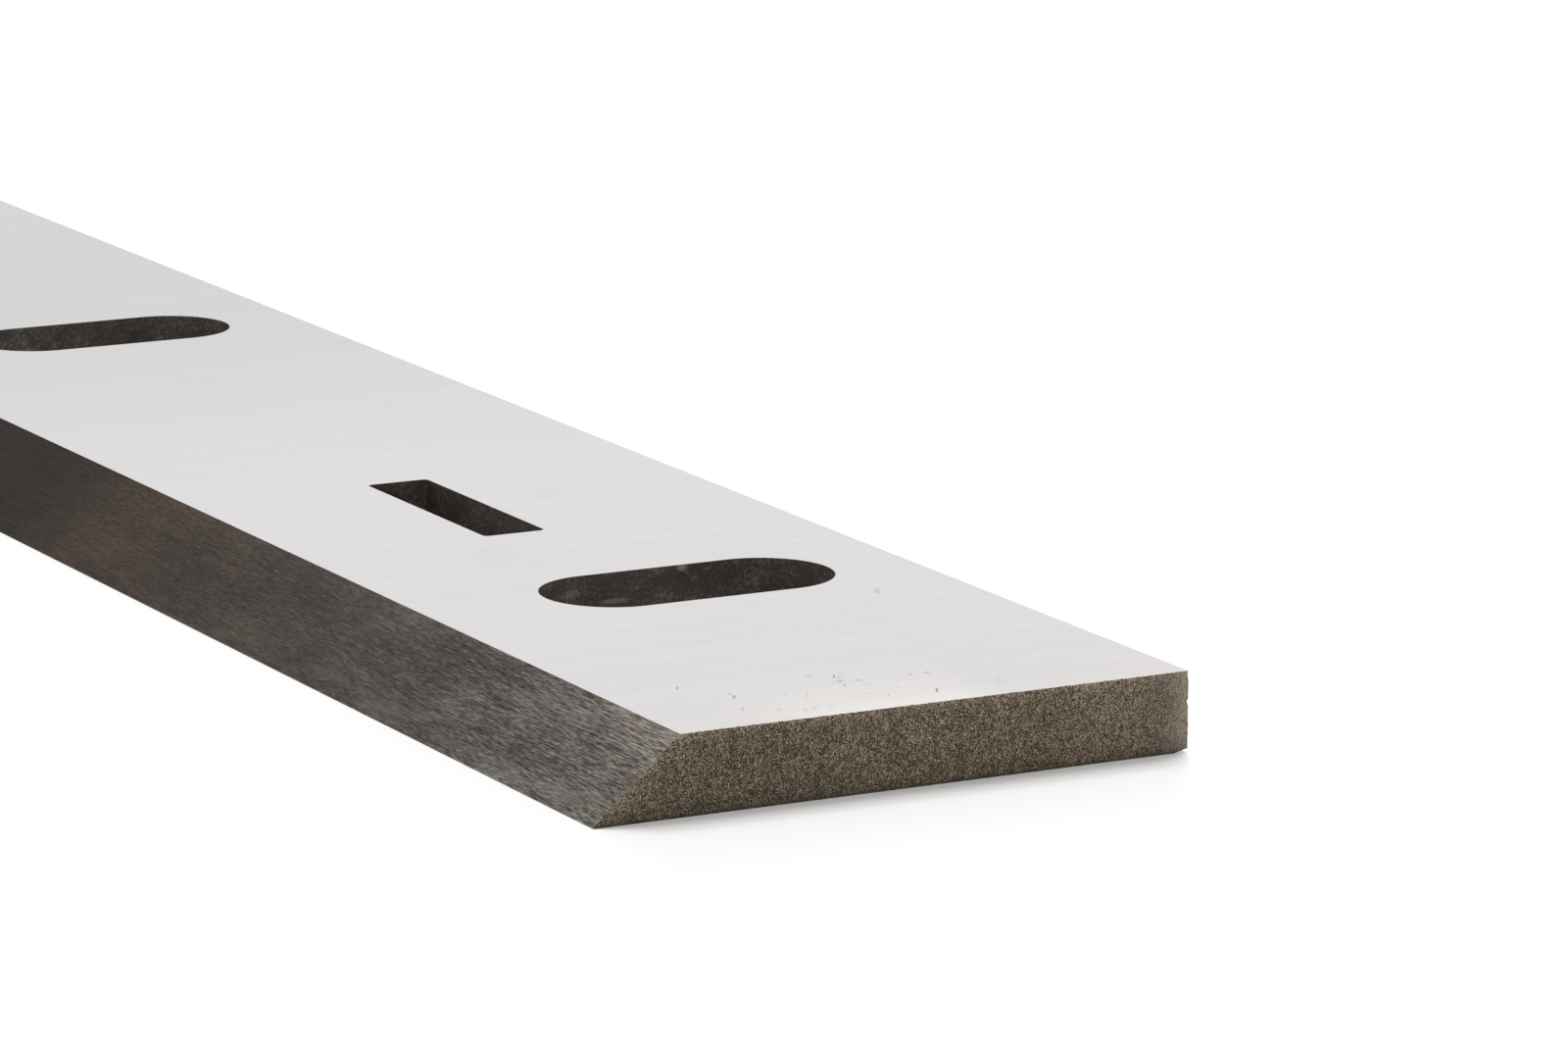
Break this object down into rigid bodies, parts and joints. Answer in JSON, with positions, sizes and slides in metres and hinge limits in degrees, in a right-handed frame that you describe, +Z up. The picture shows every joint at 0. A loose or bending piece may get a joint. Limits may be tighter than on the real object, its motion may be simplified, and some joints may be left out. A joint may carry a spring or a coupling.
{
  "type": "planer knife",
  "caption": "Long thin steel planer knife with one bevelled cutting edge, cross slots for its clamping screws and a small setting window near each end.",
  "frame": {"origin": "centre of the knife's bounding box in plan, on the flat back that it lies on", "axes": "+X along the length, towards the end nearest to the camera; +Y from the cutting edge to the back edge; +Z up, from the flat back to the face with the bevel"},
  "size_m": [0.4064, 0.0254, 0.0032],
  "materials": {
    "ground_steel": "ground bright, with a darker brushed bevel"
  },
  "bodies": {
    "root": {"knife": "ground_steel"}
  },
  "joints": []
}
